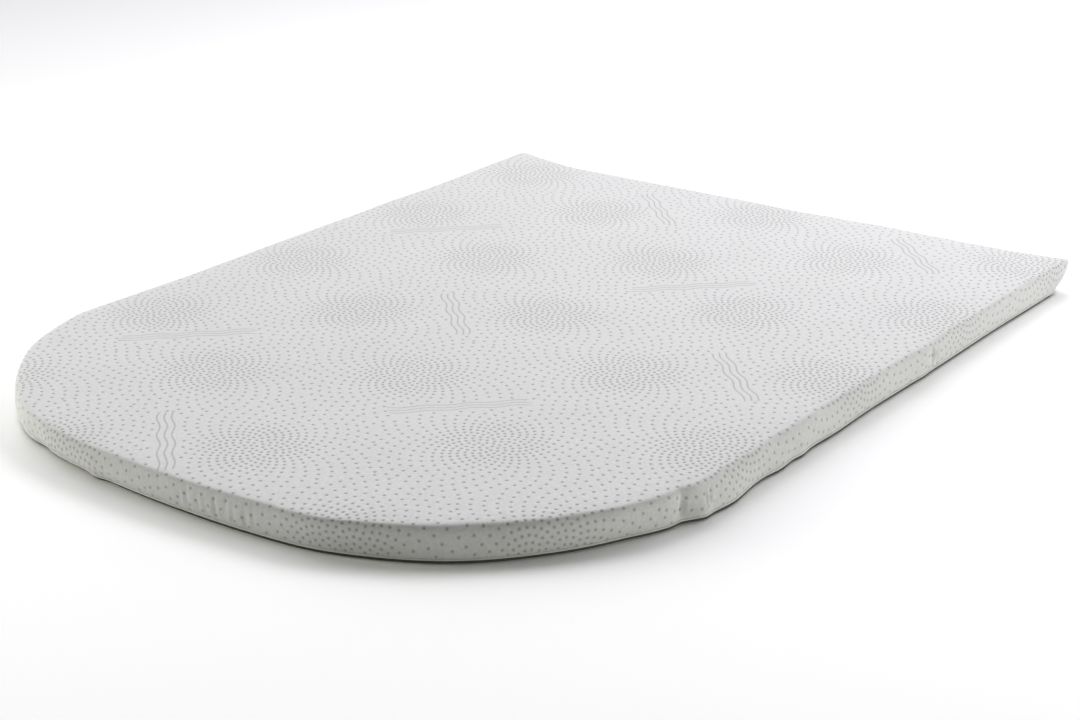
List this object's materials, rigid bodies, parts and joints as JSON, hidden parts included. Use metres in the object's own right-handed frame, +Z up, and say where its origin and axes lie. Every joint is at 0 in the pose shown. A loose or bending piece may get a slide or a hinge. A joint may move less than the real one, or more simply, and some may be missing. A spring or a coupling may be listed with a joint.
{
  "type": "mattress topper",
  "caption": "Thin foam mattress topper with a square head end and a rounded foot end, in a fitted knitted cover with dimples all over.",
  "frame": {"origin": "centre of the bounding box in plan, at the floor that the topper lies on", "axes": "+Y towards the straight head end, -Y towards the rounded foot end, +X towards the long side with the two tucks, +Z up out of the lying face"},
  "size_m": [1.3936, 1.874, 0.0631],
  "materials": {
    "cover_knit": "matte",
    "base_cloth": "matte"
  },
  "bodies": {
    "root": {"topper_body": "cover_knit", "base_panel": "base_cloth"}
  },
  "joints": []
}
